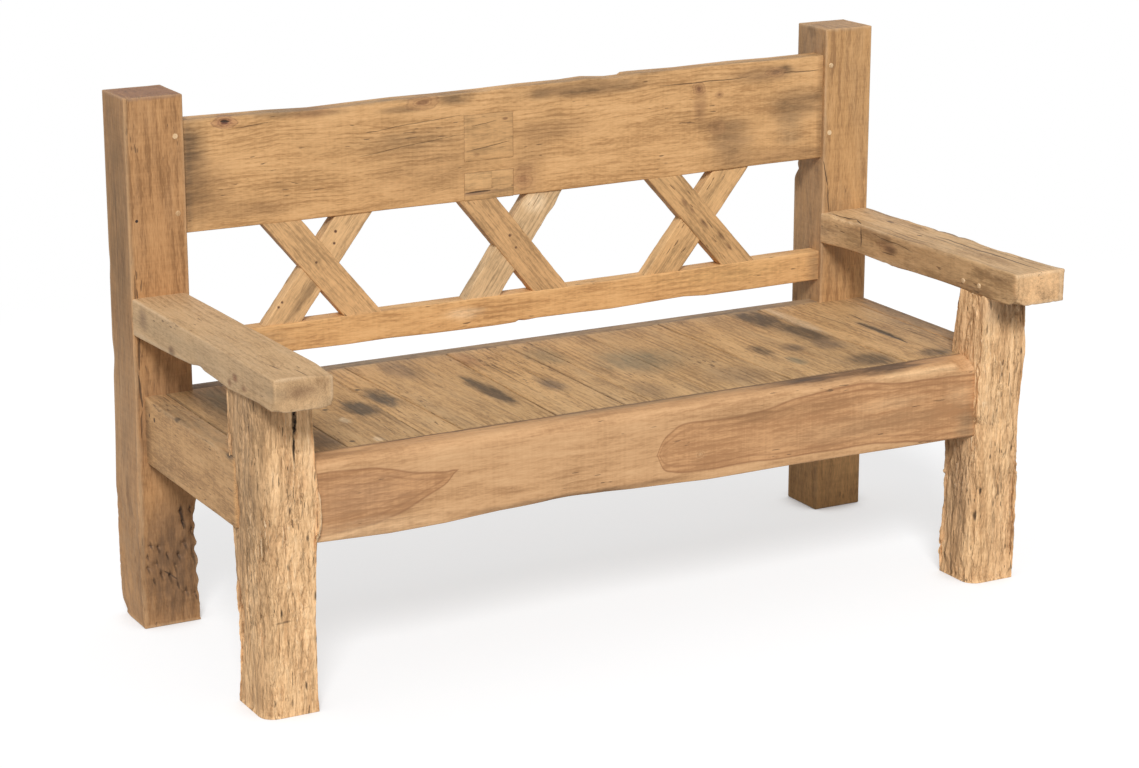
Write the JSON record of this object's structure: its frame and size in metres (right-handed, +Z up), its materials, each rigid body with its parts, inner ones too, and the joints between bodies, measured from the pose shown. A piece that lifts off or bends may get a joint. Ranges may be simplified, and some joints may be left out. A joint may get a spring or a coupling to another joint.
{
  "type": "mission settle",
  "caption": "Reclaimed timber settle with a plank seat, a slab front rail, hewn front legs, flat arms and an open back of crossed slats under a broad crest board.",
  "frame": {"origin": "on the floor, under the middle of the overall box", "axes": "+X runs along the seat, to the right of someone who faces the settle; +Y runs from the front to the back; +Z is up"},
  "size_m": [1.524, 0.69, 0.953],
  "materials": {
    "post_wood": "oiled reclaimed hardwood, planed faces with eroded edges and weather stains",
    "leg_wood": "hewn reclaimed hardwood with chisel marks, splits and knots left showing",
    "arm_wood": "sanded reclaimed hardwood, pale brown with open cracks and knots",
    "crest_wood": "sanded reclaimed board, honey brown with dark weather stains and knots",
    "inlay_wood": "sanded hardwood repairs, grain across the board's",
    "peg_wood": "pale end grain, sanded flush",
    "back_wood": "sanded reclaimed hardwood, honey brown with nail holes",
    "rail_wood": "sanded slab with dark heartwood, pale sapwood and a natural lower edge",
    "side_wood": "planed reclaimed hardwood, weathered on its upper edge",
    "seat_wood": "weathered reclaimed boards, grey brown with dark stains",
    "bearer_wood": "planed hardwood, unseen under the seat"
  },
  "bodies": {
    "root": {"left_back_post": "post_wood", "right_back_post": "post_wood", "left_front_leg": "leg_wood", "right_front_leg": "leg_wood", "left_armrest": "arm_wood", "right_armrest": "arm_wood", "crest_rail": "crest_wood", "crest_inlay_upper": "inlay_wood", "crest_inlay_lower": "inlay_wood", "crest_inlay_small": "inlay_wood", "crest_pegs": "peg_wood", "armrest_pegs": "peg_wood", "lower_back_rail": "back_wood", "front_seat_rail": "rail_wood", "rear_seat_rail": "side_wood", "left_side_rail": "side_wood", "right_side_rail": "side_wood", "front_seat_bearer": "bearer_wood", "rear_seat_bearer": "bearer_wood", "left_cross_front_slat": "back_wood", "left_cross_rear_slat": "back_wood", "middle_cross_front_slat": "back_wood", "middle_cross_rear_slat": "back_wood", "right_cross_front_slat": "back_wood", "right_cross_rear_slat": "back_wood", "seat_plank_01": "seat_wood", "seat_plank_02": "seat_wood", "seat_plank_03": "seat_wood", "seat_plank_04": "seat_wood", "seat_plank_05": "seat_wood", "seat_plank_06": "seat_wood", "seat_plank_07": "seat_wood", "seat_plank_08": "seat_wood", "seat_plank_09": "seat_wood", "seat_plank_10": "seat_wood", "seat_plank_11": "seat_wood", "seat_plank_12": "seat_wood", "seat_plank_13": "seat_wood", "seat_plank_14": "seat_wood"}
  },
  "joints": []
}
